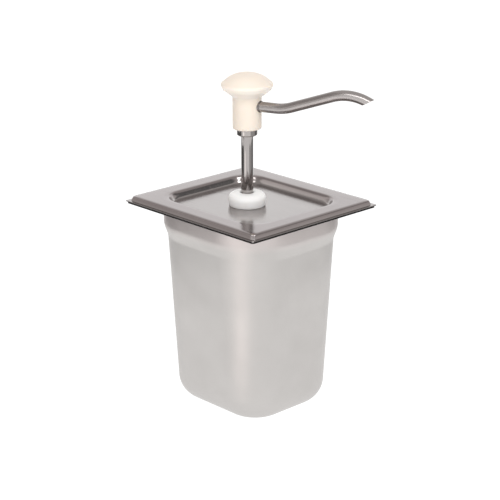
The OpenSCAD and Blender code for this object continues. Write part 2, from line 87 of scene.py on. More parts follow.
camera = bpy.data.objects.new("camera", bpy.data.cameras.new("camera"))
bpy.context.scene.collection.objects.link(camera)
camera.data.sensor_width = SENSOR
camera.data.lens = CAM_LENS
place = Matrix((right, up, back)).transposed().to_4x4()
place.translation = AIM + CAM_DIST * back + CAM_SIDE * right + CAM_UP * up
camera.matrix_world = place
bpy.context.scene.camera = camera

# ---------------------------------------------------------------- mesh helpers

# Edges that turn by more than this stay sharp, in degrees: on turned parts, and on sheets and tubes
SHARP, SHARP_BENT = 40, 50
# Points nearer the axis than this lie on it, and points nearer each other than the weld are one
ON_AXIS = 1e-6
WELD = 1e-7
# A rounded corner takes at most this share of the lines beside it
LONGEST_TRIM = 0.49
# Steps round one corner of a pressed sheet, along one of its sides and round its free edge
CORNER_STEPS = 24
SIDE_STEPS = 6
NOSE_STEPS = 6
# Smallest corner radius of a pressed sheet's outline
LEAST_CORNER = 0.2 * MM


def blend(a, b, u):
    """The value a share u of the way from a to b."""
    return a + (b - a) * u


def smooth_step(u):
    """A smooth rise from 0 to 1."""
    return u * u * (3 - 2 * u)


def new_object(name, verts, faces, sharp=SHARP, uvs=None):
    """A smooth-shaded mesh object; edges sharper than the angle stay sharp."""
    mesh = bpy.data.meshes.new(name)
    mesh.from_pydata([tuple(v) for v in verts], [], faces)
    if uvs is not None:
        layer = mesh.uv_layers.new(name="along")
        for loop in mesh.loops:
            layer.data[loop.index].uv = uvs[loop.vertex_index]
    bm = bmesh.new()
    bm.from_mesh(mesh)
    bmesh.ops.recalc_face_normals(bm, faces=bm.faces)
    bm.to_mesh(mesh)
    bm.free()
    mesh.polygons.foreach_set("use_smooth", [True] * len(mesh.polygons))
    mesh.set_sharp_from_angle(angle=math.radians(sharp))
    obj = bpy.data.objects.new(name, mesh)
    bpy.context.scene.collection.objects.link(obj)
    return obj


def fillet(points, steps):
    """A closed outline of (x, y, radius) corners, with each corner rounded to its radius."""
    out = []
    n = len(points)
    for i in range(n):
        p = Vector(points[i][:2])
        r = points[i][2]
        a = Vector(points[i - 1][:2]) - p
        b = Vector(points[(i + 1) % n][:2]) - p
        if r <= 0:
            out.append(p)
            continue
        half = a.angle(b) / 2
        d = min(r / math.tan(half), a.length * LONGEST_TRIM, b.length * LONGEST_TRIM)
        r = d * math.tan(half)
        a, b = a.normalized(), b.normalized()
        centre = p + (a + b).normalized() * (r / math.sin(half))
        u, v = (p + a * d - centre), (p + b * d - centre)
        turn = u.angle_signed(v)
        for k in range(steps + 1):
            out.append(centre + Matrix.Rotation(-turn * k / steps, 2) @ u)
    return out


def turned(name, outline, sides=96, axis=None):
    """Turns a closed outline of (radius, height) about the pump's axis, or about the Z of a 4x4 frame."""
    verts, faces, uvs = [], [], []
    n = len(outline)
    run = [0]
    for i in range(1, n):
        run.append(run[-1] + (Vector(outline[i]) - Vector(outline[i - 1])).length)
    for s in range(sides):
        a = 2 * math.pi * s / sides
        for i, (r, z) in enumerate(outline):
            verts.append(Vector((r * math.cos(a), r * math.sin(a), z)))
            uvs.append((run[i], s / sides))
    for s in range(sides):
        t = (s + 1) % sides
        for i in range(n):
            j = (i + 1) % n
            if outline[i][0] < ON_AXIS and outline[j][0] < ON_AXIS:
                continue
            if outline[i][0] < ON_AXIS:
                faces.append((s * n + i, t * n + j, s * n + j))
            elif outline[j][0] < ON_AXIS:
                faces.append((s * n + i, t * n + i, s * n + j))
            else:
                faces.append((s * n + i, t * n + i, t * n + j, s * n + j))
    place = axis or Matrix.Translation((PUMP_X, PUMP_Y, 0))
    verts = [place @ v for v in verts]
    obj = new_object(name, verts, faces, uvs=uvs)
    bm = bmesh.new()
    bm.from_mesh(obj.data)
    bmesh.ops.remove_doubles(bm, verts=bm.verts, dist=WELD)
    loose = [v for v in bm.verts if not v.link_faces]
    bmesh.ops.delete(bm, geom=loose, context="VERTS")
    bm.to_mesh(obj.data)
    bm.free()
    return obj


def outline_ring(station, size):
    """Points round a rounded rectangle; a station is (inset, corner radius, height)."""
    inset, r, z = station
    r = max(r, LEAST_CORNER)
    cx, cy = size[0] / 2 - inset - r, size[1] / 2 - inset - r
    corners = [(cx, cy, 0), (-cx, cy, 90), (-cx, -cy, 180), (cx, -cy, 270)]
    ring = []
    for k, (x, y, start) in enumerate(corners):
        arc = []
        for i in range(CORNER_STEPS + 1):
            a = math.radians(start + 90 * i / CORNER_STEPS)
            arc.append(Vector((x + r * math.cos(a), y + r * math.sin(a), z)))
        ring += arc
        nx, ny, start = corners[(k + 1) % 4]
        a = math.radians(start)
        after = Vector((nx + r * math.cos(a), ny + r * math.sin(a), z))
        ring += [arc[-1].lerp(after, i / SIDE_STEPS) for i in range(1, SIDE_STEPS)]
    return ring


def offset_face(path, t):
    """The other face of a sheet whose lower or outer face follows the stations."""
    out = []
    for i in range(len(path)):
        a, b = path[max(i - 1, 0)], path[min(i + 1, len(path) - 1)]
        d = Vector((b[0] - a[0], b[2] - a[2])).normalized()
        s = path[i]
        out.append((s[0] + t * d.y, s[1] - t * d.y, s[2] - t * d.x))
    return out


def nose(path, t):
    """Stations of the half round at the sheet's free edge, from the path's end to the other face."""
    a, b = path[-2], path[-1]
    d = Vector((b[0] - a[0], b[2] - a[2])).normalized()
    n = Vector((d.y, -d.x))
    out = []
    for k in range(1, NOSE_STEPS):
        w = math.pi * k / NOSE_STEPS
        p = Vector((b[0], b[2])) + n * (t / 2 - t / 2 * math.cos(w)) + d * (t / 2 * math.sin(w))
        out.append((p.x, b[1] - (p.x - b[0]), p.y))
    return out


def circle(ring, hole, z):
    """The points of a ring pulled in onto a round hole, which is (x, y, radius)."""
    cx, cy, r = hole
    out = []
    for p in ring:
        d = Vector((p.x - cx, p.y - cy)).normalized() * r
        out.append(Vector((cx + d.x, cy + d.y, z)))
    return out


def pressed_sheet(name, path, t, size, hole=None):
    """A pressed sheet with a rounded free edge. hole is (x, y, radius) of a round hole in its middle."""
    upper = offset_face(path, t)
    stations = path + nose(path, t) + upper[::-1]
    rings = [outline_ring(s, size) for s in stations]
    if hole:
        rings = [circle(rings[0], hole, path[0][2])] + rings + [circle(rings[-1], hole, upper[0][2])]
    n = len(rings[0])
    verts = [p for ring in rings for p in ring]
    faces = []
    for k in range(len(rings) - 1):
        for i in range(n):
            j = (i + 1) % n
            faces.append((k * n + i, k * n + j, (k + 1) * n + j, (k + 1) * n + i))
    last = (len(rings) - 1) * n
    if hole:
        faces += [(last + i, last + (i + 1) % n, (i + 1) % n, i) for i in range(n)]
    else:
        faces += [tuple(range(n - 1, -1, -1)), tuple(range(last, last + n))]
    return new_object(name, verts, faces, sharp=SHARP_BENT)


def press(a, b, steps):
    """Stations of a pressed step from one station to another, flat at both ends."""
    out = []
    for k in range(steps + 1):
        u = k / steps
        out.append((blend(a[0], b[0], u), blend(a[1], b[1], u), blend(a[2], b[2], smooth_step(u))))
    return out


def straight(a, b, steps):
    """Stations between two stations, both left out."""
    return [tuple(blend(a[i], b[i], k / steps) for i in range(3)) for k in range(1, steps)]


def arc(inset, z, r, corner_r, start, end, steps):
    """Stations of a bend about a centre at an inset and a height; 0 degrees is towards the rim, 90 up."""
    out = []
    for k in range(steps + 1):
        a = math.radians(blend(start, end, k / steps))
        out.append((inset - r * math.cos(a), corner_r + r * math.cos(a), z + r * math.sin(a)))
    return out


def shoulder(a, b, taper, steps):
    """Stations of a soft shoulder between two upright walls, leaving the lower one along its own taper."""
    out = []
    for k in range(1, steps):
        u = k / steps
        z = blend(a[2], b[2], u)
        run = taper * (z - a[2])
        w = smooth_step(u)
        out.append((blend(a[0] - run, b[0], w), blend(a[1] + run, b[1], w), z))
    return [a] + out + [b]


def ellipse(cx, cy, rx, ry, start, end, steps):
    """Points (radius, height) of part of an ellipse, for turned outlines."""
    out = []
    for k in range(steps + 1):
        a = math.radians(blend(start, end, k / steps))
        out.append((cx + rx * math.cos(a), cy + ry * math.sin(a)))
    return out


def fillet_open(corner, before, after, steps=6):
    """The rounded corner (x, y, radius) alone, between the points before and after it."""
    pts = fillet([(*before, 0), corner, (*after, 0)], steps)
    return [tuple(p) for p in pts[1:-1]]


# ---------------------------------------------------------------- materials

# The range of values that a noise texture really covers
GRAIN_LOW, GRAIN_HIGH = 0.3, 0.7


class Look:
    """A node material with a Principled shader, and short ways to add procedural detail to it."""

    def __init__(self, name, **sockets):
        self.mat = bpy.data.materials.new(name)
        self.mat.use_nodes = True
        self.tree = self.mat.node_tree
        self.shader = self.tree.nodes["Principled BSDF"]
        for k, v in sockets.items():
            self.shader.inputs[k.replace("_", " ")].default_value = v

    def node(self, kind, **settings):
        n = self.tree.nodes.new(kind)
        for k, v in settings.items():
            setattr(n, k, v)
        return n

    def coords(self, scale=(1, 1, 1), source="Object"):
        """Texture coordinates: the object's own in metres, or its UVs."""
        tc = self.node("ShaderNodeTexCoord")
        mp = self.node("ShaderNodeMapping")
        mp.inputs["Scale"].default_value = scale
        self.tree.links.new(tc.outputs[source], mp.inputs["Vector"])
        return mp.outputs["Vector"]

    def noise(self, scale, detail, rough=0.5, stretch=(1, 1, 1), source="Object"):
        """A noise texture; a larger stretch on an axis makes it finer along that axis."""
        n = self.node("ShaderNodeTexNoise")
        n.inputs["Scale"].default_value = scale
        n.inputs["Detail"].default_value = detail
        n.inputs["Roughness"].default_value = rough
        self.tree.links.new(self.coords(stretch, source), n.inputs["Vector"])
        return n.outputs["Fac"]

    def spread(self, value, low, high, start=GRAIN_LOW, end=GRAIN_HIGH):
        """The value's range from start to end, mapped onto the range from low to high."""
        m = self.node("ShaderNodeMapRange")
        self.tree.links.new(value, m.inputs["Value"])
        for k, v in (("From Min", start), ("From Max", end), ("To Min", low), ("To Max", high)):
            m.inputs[k].default_value = v
        return m.outputs["Result"]

    def roughness(self, value):
        """Lets the value drive the surface's roughness."""
        self.tree.links.new(value, self.shader.inputs["Roughness"])

    def height(self, low, high):
        """0 below one height in metres and 1 above the other, along the object's Z."""
        split = self.node("ShaderNodeSeparateXYZ")
        self.tree.links.new(self.coords(), split.inputs["Vector"])
        return self.spread(split.outputs["Z"], 0.0, 1.0, low, high)

    def edge(self, half_x, half_y, fade):
        """0 inside an upright rectangle round the object's origin and 1 past its sides."""
        split = self.node("ShaderNodeSeparateXYZ")
        self.tree.links.new(self.coords(), split.inputs["Vector"])
        either = self.node("ShaderNodeMath", operation="MAXIMUM")
        for slot, (axis, half) in enumerate((("X", half_x), ("Y", half_y))):
            away = self.node("ShaderNodeMath", operation="ABSOLUTE")
            self.tree.links.new(split.outputs[axis], away.inputs[0])
            past = self.spread(away.outputs[0], 0.0, 1.0, half, half + fade)
            self.tree.links.new(past, either.inputs[slot])
        return either.outputs[0]

    def ramp(self, grain, dark, light):
        """A colour from dark to light that follows the grain."""
        n = self.node("ShaderNodeValToRGB")
        ends = zip(n.color_ramp.elements, (GRAIN_LOW, GRAIN_HIGH), (dark, light))
        for element, position, colour in ends:
            element.position = position
            element.color = (*colour, 1)
        self.tree.links.new(grain, n.inputs["Fac"])
        return n.outputs["Color"]

    def tint(self, grain, dark, light, *zones):
        """Colours the surface along the grain. Zones are (mask, dark, light), laid over one another."""
        colour = self.ramp(grain, dark, light)
        for mask, zone_dark, zone_light in zones:
            mix = self.node("ShaderNodeMix", data_type="RGBA")
            self.tree.links.new(mask, mix.inputs["Factor"])
            self.tree.links.new(colour, mix.inputs["A"])
            self.tree.links.new(self.ramp(grain, zone_dark, zone_light), mix.inputs["B"])
            colour = mix.outputs["Result"]
        self.tree.links.new(colour, self.shader.inputs["Base Color"])

    def bump(self, *heights):
        """Heights are (value, strength, distance), pressed into the surface one after another."""
        previous = None
        for value, strength, distance in heights:
            b = self.node("ShaderNodeBump")
            b.inputs["Strength"].default_value = strength
            b.inputs["Distance"].default_value = distance
            self.tree.links.new(value, b.inputs["Height"])
            if previous:
                self.tree.links.new(previous, b.inputs["Normal"])
            previous = b.outputs["Normal"]
        self.tree.links.new(previous, self.shader.inputs["Normal"])


def satin_steel():
    """Finely blasted steel, painted warmer and lighter on the stacking band as a painted warm reflection, and
    painted nearly black on the rim's turned-down edge as a painted shadow line under the lid's lip.
    """
    look = Look("satin_steel", Metallic=1.0)
    plain = ((0.505, 0.487, 0.473), (0.535, 0.517, 0.503))
    look.tint(
        look.noise(22, 4), *plain,
        # Painted warm reflection: the stacking band is tinted warmer and lighter than the body.
        (look.height(RIM_Z - 24 * MM, RIM_Z - 14 * MM), (0.565, 0.52, 0.507), (0.595, 0.55, 0.537)),
        # Painted shadow: the rim's turned-down edge is nearly black, the dark line under the lid's lip.
        (look.height(RIM_Z - 2.2 * MM, RIM_Z - 1.9 * MM), (0.02, 0.018, 0.018), (0.03, 0.027, 0.026)),
        (look.height(RIM_Z - 0.12 * MM, RIM_Z - 0.02 * MM), *plain),
    )
    look.roughness(look.spread(look.noise(35, 5, 0.6), 0.4, 0.48))
    look.bump((look.noise(2600, 2), 0.12, 0.03 * MM), (look.noise(30, 2), 0.08, 0.6 * MM))
    return look.mat


def lid_steel():
    """Polished steel with a faint grain along Y, darker on the border, and painted darkest on the lip's edge
    as a painted shadow line under the lid.
    """
    look = Look("lid_steel", Metallic=1.0)
    top = BOX["lid"][1].z
    # Width in from the lid's outline that is painted nearly black, a painted shadow line.
    edge = 0.25 * MM
    look.tint(
        look.noise(18, 3), (0.4, 0.376, 0.37), (0.425, 0.4, 0.394),
        (look.height(top - 4.5 * MM, top - 1.5 * MM), (0.335, 0.302, 0.3), (0.36, 0.326, 0.324)),
        # Painted shadow: the lip's outer edge is nearly black.
        (look.edge(LID_X / 2 - edge, LID_Y / 2 - edge, 0.2 * MM), (0.12, 0.11, 0.107), (0.16, 0.146, 0.142)),
    )
    look.roughness(look.spread(look.noise(60, 4, 0.6, (0.12, 6, 1)), 0.13, 0.2))
    fine = look.noise(900, 2, 0.5, (0.03, 1.6, 0.6))
    look.bump((fine, 0.08, 0.02 * MM), (look.noise(14, 2), 0.06, 0.6 * MM))
    return look.mat


def tube_steel(name, low, high):
    """Polished tube with its grain round and along it, between two roughnesses."""
    look = Look(name, Metallic=1.0)
    grain = look.noise(60, 4, 0.6, (1.2, 2.0, 1), "UV")
    look.tint(grain, (0.37, 0.345, 0.337), (0.425, 0.4, 0.39))
    look.roughness(look.spread(grain, low, high))
    look.bump((look.noise(240, 3, 0.6, (0.5, 2.0, 1), "UV"), 0.1, 0.02 * MM))
    return look.mat


def turned_steel(name, dark, light, low, high):
    """Steel with fine turning rings, between two colours and two roughnesses."""
    look = Look(name, Metallic=1.0)
    rings = look.noise(40, 3, 0.6, (60, 0.02, 1), "UV")
    look.tint(rings, dark, light)
    look.roughness(look.spread(rings, low, high))
    look.bump((rings, 0.05, 0.01 * MM))
    return look.mat


def soft_plastic(name, weight, scale, radius):
    """A plastic that lets a little light through it."""
    return Look(name, Subsurface_Weight=weight, Subsurface_Scale=scale, Subsurface_Radius=radius)


def cream_plastic():
    """Cream plastic of the knob, painted paler where the underside of the mushroom flares out, as painted
    light on that shaded underside; above the mushroom's rim a touch paler than the body.
    """
    look = soft_plastic("cream_plastic", 0.15, 4 * MM, (1.0, 0.7, 0.45))
    look.shader.inputs["IOR"].default_value = 1.5
    flare = BOX["pump_head"][0].z + 29 * MM
    rim = flare + 11.5 * MM
    fade = 3 * MM
    look.tint(
        look.noise(45, 4), (0.855, 0.765, 0.662), (0.875, 0.785, 0.682),
        # Painted light: the flared underside of the mushroom is paler than the body.
        (look.height(flare, flare + fade), (0.955, 0.88, 0.79), (0.975, 0.9, 0.81)),
        (look.height(rim, rim + fade), (0.87, 0.782, 0.682), (0.89, 0.802, 0.702)),
    )
    look.roughness(look.spread(look.noise(120, 4), 0.36, 0.46))
    look.bump((look.noise(1500, 2), 0.06, 0.03 * MM))
    return look.mat


def white_plastic():
    """White plastic of the locking nut."""
    look = soft_plastic("white_plastic", 0.35, 6 * MM, (1.0, 0.95, 0.9))
    look.tint(look.noise(60, 4), (0.95, 0.95, 0.935), (0.97, 0.97, 0.955))
    look.roughness(look.spread(look.noise(140, 4), 0.3, 0.4))
    look.bump((look.noise(1400, 2), 0.05, 0.03 * MM))
    return look.mat


def natural_plastic():
    """Off-white plastic of the pump's mouldings, as moulded."""
    look = soft_plastic("natural_plastic", 0.2, 5 * MM, (1.0, 0.9, 0.75))
    look.tint(look.noise(50, 4), (0.8, 0.78, 0.71), (0.85, 0.835, 0.77))
    look.roughness(look.spread(look.noise(110, 4), 0.4, 0.52))
    look.bump((look.noise(1200, 2), 0.06, 0.03 * MM))
    return look.mat


def seal_rubber():
    """Matt black rubber of the seals."""
    look = Look("seal_rubber")
    look.tint(look.noise(90, 4), (0.018, 0.018, 0.018), (0.032, 0.031, 0.03))
    look.roughness(look.spread(look.noise(260, 4), 0.55, 0.72))
    look.bump((look.noise(2000, 3), 0.15, 0.05 * MM))
    return look.mat


def inner_steel():
    """Bright steel of the spring, the balls and the small parts inside."""
    look = Look("inner_steel", Metallic=1.0)
    look.tint(look.noise(80, 3), (0.52, 0.51, 0.5), (0.6, 0.59, 0.58))
    look.roughness(look.spread(look.noise(200, 4), 0.18, 0.3))
    look.bump((look.noise(1600, 2), 0.06, 0.02 * MM))
    return look.mat


LOOKS = {
    "satin_steel": satin_steel(),
    "lid_steel": lid_steel(),
    "tube_steel": tube_steel("tube_steel", 0.06, 0.11),
    "spout_steel": tube_steel("spout_steel", 0.19, 0.27),
    "collar_steel": turned_steel("collar_steel", (0.4, 0.375, 0.36), (0.45, 0.42, 0.405), 0.07, 0.13),
    "ferrule_steel": turned_steel("ferrule_steel", (0.2, 0.185, 0.18), (0.27, 0.25, 0.24), 0.18, 0.26),
    "cream_plastic": cream_plastic(),
    "white_plastic": white_plastic(),
    "natural_plastic": natural_plastic(),
    "seal_rubber": seal_rubber(),
    "inner_steel": inner_steel(),
}
# The record's slots that have no look of their own name
SLOT_LOOK = {"polished_steel": "tube_steel", "collar_chrome": "collar_steel"}

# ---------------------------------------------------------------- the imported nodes

# Widths of the rounded edges of the mouldings that show once the lid is lifted
MOULDED = {
    "pump_cylinder": 0.3 * MM,
    "valve_housing": 0.3 * MM,
    "suction_nut": 0.4 * MM,
    "suction_tube": 0.25 * MM,
    "flange_gasket": 0.2 * MM,
    "piston": 0.2 * MM,
}

for entry in frame["record"]["subparts"]:
    node = frame["nodes"][entry["node"]]
    look = LOOKS[SLOT_LOOK.get(entry["material_slot"], entry["material_slot"])]
    node.data.materials.clear()
    node.data.materials.append(look)
    if entry["node"] in MOULDED:
        soften = node.modifiers.new("soft_edges", "BEVEL")
        soften.width = MOULDED[entry["node"]]
        soften.segments = 2
        soften.limit_method = "ANGLE"
        soften.angle_limit = math.radians(SHARP)


def finish_piece(obj, node, look=None):
    """The piece stands for a CAD node: it rides on its body, takes its slot and gets its look."""
    record_slot = next(s["material_slot"] for s in frame["record"]["subparts"] if s["node"] == node)
    body = next(b for b, members in frame["record"]["behaviour"]["bodies"].items() if node in members)
    obj.data.materials.append(LOOKS[look or SLOT_LOOK.get(record_slot, record_slot)])
    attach(obj, body)
    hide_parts(node)


# ---------------------------------------------------------------- container

SHEET = 0.8 * MM
BAND_INSET, BAND_CORNER, BAND_H, SHOULDER_H = 9.8 * MM, 53 * MM, 16.5 * MM, 16 * MM
BODY_INSET, FOOT_INSET, FOOT_CORNER, BASE_FILLET = 13.8 * MM, 22.8 * MM, 38 * MM, 24 * MM
RIM_CORNER, RIM_BEND, RIM_FOLD = 3 * MM, 2.5 * MM, 1.5 * MM
# Width of the flat row that ends the base
BASE_ROW = 8 * MM
# Bend of the rim into its turned-down edge: distance in from the edge, and drop below the rim's lower face
RIM_TURN = [(1.8 * MM, 0), (1.4 * MM, 0.07 * MM), (1.1 * MM, 0.22 * MM), (0.88 * MM, 0.45 * MM)]

rim_under = RIM_Z - SHEET
body_low = (FOOT_INSET, FOOT_CORNER, BASE_FILLET)
body_high = (BODY_INSET, BAND_CORNER - BODY_INSET + BAND_INSET, RIM_Z - BAND_H - SHOULDER_H)
band_low = (BAND_INSET, BAND_CORNER, RIM_Z - BAND_H)
band_high = (BAND_INSET, BAND_CORNER, rim_under - RIM_BEND)
body_taper = (FOOT_INSET - BODY_INSET) / (body_high[2] - BASE_FILLET)
container_path = (
    [(FOOT_INSET + BASE_FILLET + BASE_ROW, FOOT_CORNER - BASE_FILLET - BASE_ROW, 0)]
    + arc(FOOT_INSET + BASE_FILLET, BASE_FILLET, BASE_FILLET, FOOT_CORNER - BASE_FILLET, -90, 0, 14)
    + straight(body_low, body_high, 10)
    + shoulder(body_high, band_low, body_taper, 16)
    + straight(band_low, band_high, 5)
    + arc(BAND_INSET - RIM_BEND, rim_under - RIM_BEND, -RIM_BEND, BAND_CORNER + RIM_BEND, 0, -90, 8)
    + [(2.4 * MM, RIM_CORNER - 1.8 * MM, rim_under)]
    + [(inset, RIM_CORNER - inset, rim_under - drop) for inset, drop in RIM_TURN]
    + [(SHEET, RIM_CORNER - SHEET, RIM_Z - RIM_FOLD + 0.1 * MM)]
)
container = pressed_sheet("container_shell", container_path, SHEET, (RIM_X, RIM_Y))
finish_piece(container, "container")

# ---------------------------------------------------------------- lid

LID_SHEET = 0.9 * MM
LIP_W, STEP_W, STEP_H, LIP_CORNER, BORDER_CORNER = 3.6 * MM, 1.8 * MM, 4.2 * MM, 2.2 * MM, 3.4 * MM
WELL_INSET, WELL_WALL, WELL_CORNER, WELL_DEPTH = 21.5 * MM, 4.8 * MM, 26 * MM, 6.5 * MM
# Width of the flat row that ends the well's floor
WELL_ROW = 4 * MM
LIP_Z = BOX["lid"][1].z - LID_SHEET - STEP_H
BORDER_Z = LIP_Z + STEP_H
WELL_Z = BORDER_Z - WELL_DEPTH
HOLE_R = 13 * MM

border_in = (WELL_INSET, WELL_CORNER, BORDER_Z)
border_out = (LIP_W + STEP_W, BORDER_CORNER, BORDER_Z)
lip_in = (LIP_W, LIP_CORNER + 0.6 * MM, LIP_Z)
lip_out = (LID_SHEET / 2, LIP_CORNER - 0.3 * MM, LIP_Z)
well_foot = (WELL_INSET + WELL_WALL, WELL_CORNER - WELL_WALL, WELL_Z)
lid_path = (
    [(well_foot[0] + WELL_ROW, well_foot[1] - WELL_ROW, WELL_Z)]
    + press(well_foot, border_in, 18)
    + straight(border_in, border_out, 5)
    + press(border_out, lip_in, 12)
    + straight(lip_in, lip_out, 3)
    + [(LID_SHEET / 2, LIP_CORNER - LID_SHEET / 2, LIP_Z)]
)
lid = pressed_sheet("lid_pressing", lid_path, LID_SHEET, (LID_X, LID_Y), hole=(PUMP_X, PUMP_Y, HOLE_R))
finish_piece(lid, "lid", "lid_steel")

# ---------------------------------------------------------------- locking nut

NUT_LOW, NUT_HIGH = BOX["locking_nut"][0].z, BOX["locking_nut"][1].z
NUT_R = (BOX["locking_nut"][1].x - BOX["locking_nut"][0].x) / 2
STEM_R = (BOX["stem_tube"][1].x - BOX["stem_tube"][0].x) / 2
# Bore over the neck, hole for the stem and thickness of the nut's top
NUT_BORE, NUT_HOLE, NUT_CAP = 12.75 * MM, STEM_R + 0.6 * MM, 3.6 * MM
# Radii of the bulging side, below and above its widest place, which is at this share of the height
SIDE_LOW, SIDE_HIGH, WIDEST = 5 * MM, 6 * MM, 0.52

bulge_z = blend(NUT_LOW, NUT_HIGH, WIDEST)
nut_foot = [(NUT_BORE, NUT_LOW), (NUT_R - 1.6 * MM, NUT_LOW), (NUT_R - 1.25 * MM, NUT_LOW + 0.12 * MM)]
nut_side = ellipse(NUT_R - SIDE_LOW, bulge_z, SIDE_LOW, (bulge_z - NUT_LOW) * 1.55, -36, 0, 9)
nut_side += ellipse(NUT_R - SIDE_HIGH, bulge_z, SIDE_HIGH, NUT_HIGH - bulge_z - 0.25 * MM, 7, 80, 14)
nut_top = [(STEM_R + 3.2 * MM, NUT_HIGH - 0.02 * MM), (STEM_R + 1.4 * MM, NUT_HIGH)]
nut_lip = [
    (STEM_R + 0.95 * MM, NUT_HIGH - 0.06 * MM),
    (STEM_R + 0.7 * MM, NUT_HIGH - 0.3 * MM),
    (NUT_HOLE, NUT_HIGH - 0.7 * MM),
]
nut_inside = [(NUT_HOLE, NUT_HIGH - NUT_CAP), (NUT_BORE, NUT_HIGH - NUT_CAP)]
nut_outline = nut_foot + nut_side + nut_top + nut_lip + nut_inside
nut = turned("locking_nut_cap", nut_outline)
finish_piece(nut, "locking_nut")

# ---------------------------------------------------------------- stem and collar

# Gap under a ring that is fixed on a tube, and gap between the stem and the knob's socket
RING_GAP, SOCKET_GAP = 0.05 * MM, 0.1 * MM
STEM_LOW, STEM_HIGH = BOX["stem_tube"][0].z, BOX["stem_tube"][1].z
STEM_WALL = 1.2 * MM
stem = turned(
    "stem_pipe",
    fillet([
        (STEM_R - STEM_WALL, STEM_LOW, 0.2 * MM), (STEM_R, STEM_LOW, 0.2 * MM),
        (STEM_R, STEM_HIGH, 0.3 * MM), (STEM_R - STEM_WALL, STEM_HIGH, 0.3 * MM),
    ], 3),
)
finish_piece(stem, "stem_tube")

COLLAR_LOW, COLLAR_HIGH = BOX["stem_collar"][0].z, BOX["stem_collar"][1].z
COLLAR_R = (BOX["stem_collar"][1].x - BOX["stem_collar"][0].x) / 2
collar = turned(
    "stem_collar_ring",
    fillet([
        (STEM_R + RING_GAP, COLLAR_LOW, 0.15 * MM), (COLLAR_R, COLLAR_LOW, 1.4 * MM),
        (COLLAR_R, COLLAR_HIGH, 0.4 * MM), (STEM_R + RING_GAP, COLLAR_HIGH, 0.1 * MM),
    ], 9),
)
finish_piece(collar, "stem_collar")

# ---------------------------------------------------------------- knob

HEAD_LOW = BOX["pump_head"][0].z
CAP_R = (BOX["pump_head"][1].x - BOX["pump_head"][0].x) / 2
HEAD_R = 13.75 * MM
BODY_H, UNDER_H, CAP_RIM_H, DOME_H = 30.8 * MM, 8.6 * MM, 5 * MM, 8.8 * MM
DOME_CURVE = 2.6
# Rounding of the body's lower edge, of the neck under the mushroom and of the mushroom's blunt rim
FOOT_ROUND, NECK_ROUND, RIM_ROUND = 1.3 * MM, 3 * MM, 2.6 * MM
# Shares of the underside's width between which its flare is drawn, and share of the rim that the dome spans
FLARE_START, FLARE_END, DOME_END = 0.22, 0.88, 0.975
FLARE_STEPS, DOME_STEPS = 6, 16
cap_low = HEAD_LOW + BODY_H
cap_mid = cap_low + UNDER_H + CAP_RIM_H / 2
cap_high = cap_low + UNDER_H + CAP_RIM_H


def knob_body():
    """Outline of the round body, from its socket past a soft lower edge up to the neck."""
    out = [(STEM_R + SOCKET_GAP, HEAD_LOW)]
    out += fillet_open((HEAD_R, HEAD_LOW, FOOT_ROUND), (0, HEAD_LOW), (HEAD_R, cap_low))
    out += [(HEAD_R, blend(HEAD_LOW + 2 * MM, cap_low - 2 * MM, k / 6)) for k in range(7)]
    out += fillet_open((HEAD_R, cap_low, NECK_ROUND), (HEAD_R, HEAD_LOW), (CAP_R, cap_low + UNDER_H), 8)
    return out


def knob_cap():
    """Outline of the mushroom: flared underside, blunt rim and low dome."""
    out = []
    for k in range(1, FLARE_STEPS + 1):
        u = blend(FLARE_START, FLARE_END, k / FLARE_STEPS)
        out.append((blend(HEAD_R, CAP_R, u), cap_low + UNDER_H * (0.8 * u + 0.2 * u * u)))
    out += ellipse(CAP_R - RIM_ROUND, cap_mid, RIM_ROUND, CAP_RIM_H / 2 + 0.2 * MM, -52, 56, 12)
    for k in range(1, DOME_STEPS):
        u = 1 - k / DOME_STEPS
        out.append(((CAP_R - 1.1 * MM) * DOME_END * u, cap_high + DOME_H * (1 - u**DOME_CURVE)))
    return out + [(0.0, cap_high + DOME_H)]


SOCKET_TOP = STEM_HIGH + SOCKET_GAP
knob_line = knob_body() + knob_cap() + [(0.0, SOCKET_TOP), (STEM_R + SOCKET_GAP, SOCKET_TOP)]
knob = turned("pump_knob", knob_line, sides=128)
finish_piece(knob, "pump_head")

# ---------------------------------------------------------------- spout and ferrule

SPOUT_TURN = math.radians(20)
SPOUT_R, SPOUT_WALL = 5 * MM, 0.9 * MM
SPOUT_Z = HEAD_LOW + 22.2 * MM
# Where the spout starts inside the knob and where it starts to rise; its slopes before and after the crest
SPOUT_START, SPOUT_LEVEL, SPOUT_RISE, SPOUT_FALL = 6 * MM, 30 * MM, math.radians(19), math.radians(24.5)
# Lengths of the middle stretch and of the tip, and radii of the two bends
SPOUT_MID, TIP, BEND_1, BEND_2 = 43 * MM, 9 * MM, 50 * MM, 48 * MM
MOUTH_SLOPE = math.radians(62)
spout_place = Matrix.Translation((PUMP_X, PUMP_Y, SPOUT_Z)) @ Matrix.Rotation(SPOUT_TURN, 4, "Z")


def run_on(pts, length, steps):
    """Adds a straight stretch to a line of (x, z, slope), along its last slope."""
    x, z, a = pts[-1]
    for k in range(1, steps + 1):
        d = length * k / steps
        pts.append((x + d * math.cos(a), z + d * math.sin(a), a))


def bend_on(pts, r, slope, steps):
    """Adds a bend to a line of (x, z, slope), from its last slope to a new one."""
    x, z, first = pts[-1]
    side = 1 if slope > first else -1
    cx, cz = x - side * r * math.sin(first), z + side * r * math.cos(first)
    for k in range(1, steps + 1):
        a = blend(first, slope, k / steps)
        pts.append((cx + side * r * math.sin(a), cz - side * r * math.cos(a), a))


def spout_line():
    """Centre line in the spout's own upright plane, as (x, z, slope), and the point of the mouth's cut."""
    pts = [(SPOUT_START, 0.0, 0.0)]
    run_on(pts, SPOUT_LEVEL - SPOUT_START, 10)
    bend_on(pts, BEND_1, SPOUT_RISE, 12)
    run_on(pts, SPOUT_MID, 14)
    bend_on(pts, BEND_2, -SPOUT_FALL, 20)
    mouth = Vector((pts[-1][0], 0, pts[-1][1]))
    run_on(pts, TIP, 4)
    return pts, mouth


